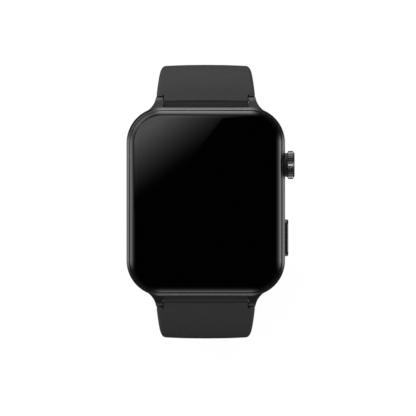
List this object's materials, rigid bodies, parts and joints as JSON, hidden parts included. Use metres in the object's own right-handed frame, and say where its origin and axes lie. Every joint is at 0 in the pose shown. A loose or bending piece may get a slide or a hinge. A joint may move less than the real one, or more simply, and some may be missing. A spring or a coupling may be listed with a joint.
{
  "type": "smartwatch",
  "caption": "Square smartwatch with a curved glass face, rotating side crown, side button and a silicone strap on quick-release spring bars, unbuckled and curled under the case.",
  "frame": {"origin": "centre of the sensor lens, on the flat outer face that lies on the wrist", "axes": "+X towards 3 o'clock, the side of the crown and button; +Y towards 12 o'clock; +Z out of the display, so the wrist side faces -Z"},
  "size_m": [0.0397, 0.065, 0.0748],
  "materials": {
    "frame_metal": "satin anodised",
    "cover_glass": "polished, black printed rim",
    "lens_gloss": "polished",
    "cover_plastic": "satin",
    "silicone": "fine matte silicone",
    "buckle_metal": "black coated",
    "steel": "turned or stamped",
    "gold": "gold plated",
    "magnet": "nickel plated",
    "seal_rubber": "moulded",
    "adhesive": "die-cut tape",
    "display": "dark when off",
    "flex": "polyimide",
    "board": "solder mask",
    "cell": "foil pouch",
    "inner_plastic": "moulded",
    "led": "clear chip package",
    "sensor": "chip package"
  },
  "bodies": {
    "case": {"case_frame": "frame_metal", "cover_glass": "cover_glass", "glass_adhesive": "adhesive", "display_panel": "display", "display_flex": "flex", "inner_chassis": "inner_plastic", "main_board": "board", "shield_can": "steel", "vibration_motor": "steel", "battery": "cell", "back_cover": "cover_plastic", "back_seal": "seal_rubber", "sensor_lens": "lens_gloss", "sensor_board": "board", "green_led_left": "led", "green_led_right": "led", "photodiode": "sensor", "back_screw_1": "steel", "back_screw_2": "steel", "back_screw_3": "steel", "back_screw_4": "steel", "charge_contact_left": "gold", "charge_contact_right": "gold", "charge_magnet_left": "magnet", "charge_magnet_right": "magnet", "crown_tube": "steel", "crown_switch": "inner_plastic", "button_switch": "inner_plastic", "button_seal": "seal_rubber"},
    "crown_slider": {"crown_plunger": "inner_plastic"},
    "crown": {"crown_knob": "frame_metal", "crown_stem": "steel", "crown_seal": "seal_rubber", "crown_clip": "steel"},
    "side_button": {"side_button": "frame_metal", "button_clip": "steel", "button_plunger": "inner_plastic"},
    "upper_strap": {"strap_short": "silicone", "upper_bar_tube": "steel", "upper_fixed_pin": "steel", "upper_bar_spring": "steel", "buckle_pin": "steel"},
    "upper_release": {"upper_release_pin": "steel"},
    "buckle": {"buckle_frame": "buckle_metal"},
    "tang": {"buckle_tang": "buckle_metal"},
    "keeper": {"free_keeper": "silicone"},
    "lower_strap": {"strap_long": "silicone", "lower_bar_tube": "steel", "lower_fixed_pin": "steel", "lower_bar_spring": "steel"},
    "lower_release": {"lower_release_pin": "steel"}
  },
  "joints": [
    {"name": "crown_press", "type": "slide", "parent": "case", "child": "crown_slider", "axis": [-1, 0, 0], "range_m": [0, 0.0004], "stiffness_N_per_m": 2500, "springref_m": -0.0001},
    {"name": "crown_spin", "type": "hinge", "parent": "crown_slider", "child": "crown", "pos_m": [0.0187, 0.00866, 0.0056], "axis": [1, 0, 0], "continuous": true},
    {"name": "side_button_press", "type": "slide", "parent": "case", "child": "side_button", "axis": [-1, 0, 0], "range_m": [0, 0.0003], "stiffness_N_per_m": 3000, "springref_m": -0.0001},
    {"name": "upper_strap_hinge", "type": "hinge", "parent": "case", "child": "upper_strap", "pos_m": [0, 0.0228, 0.0034], "axis": [1, 0, 0], "range_deg": [-6, 50]},
    {"name": "upper_release_slide", "type": "slide", "parent": "upper_strap", "child": "upper_release", "axis": [-1, 0, 0], "range_m": [0, 0.001], "stiffness_N_per_m": 900, "springref_m": -0.001, "deforming": ["upper_bar_spring"]},
    {"name": "buckle_hinge", "type": "hinge", "parent": "upper_strap", "child": "buckle", "pos_m": [0, -0.01114, -0.04003], "axis": [1, 0, 0], "range_deg": [-100, 60]},
    {"name": "tang_hinge", "type": "hinge", "parent": "buckle", "child": "tang", "pos_m": [0, -0.01114, -0.04003], "axis": [1, 0, 0], "range_deg": [0, 70]},
    {"name": "keeper_slide", "type": "hinge", "parent": "upper_strap", "child": "keeper", "pos_m": [0, 0.00136, -0.01003], "axis": [1, 0, 0], "range_deg": [-11, 45]},
    {"name": "lower_strap_hinge", "type": "hinge", "parent": "case", "child": "lower_strap", "pos_m": [0, -0.0228, 0.0034], "axis": [-1, 0, 0], "range_deg": [-6, 50]},
    {"name": "lower_release_slide", "type": "slide", "parent": "lower_strap", "child": "lower_release", "axis": [1, 0, 0], "range_m": [0, 0.001], "stiffness_N_per_m": 900, "springref_m": -0.001, "deforming": ["lower_bar_spring"]}
  ]
}
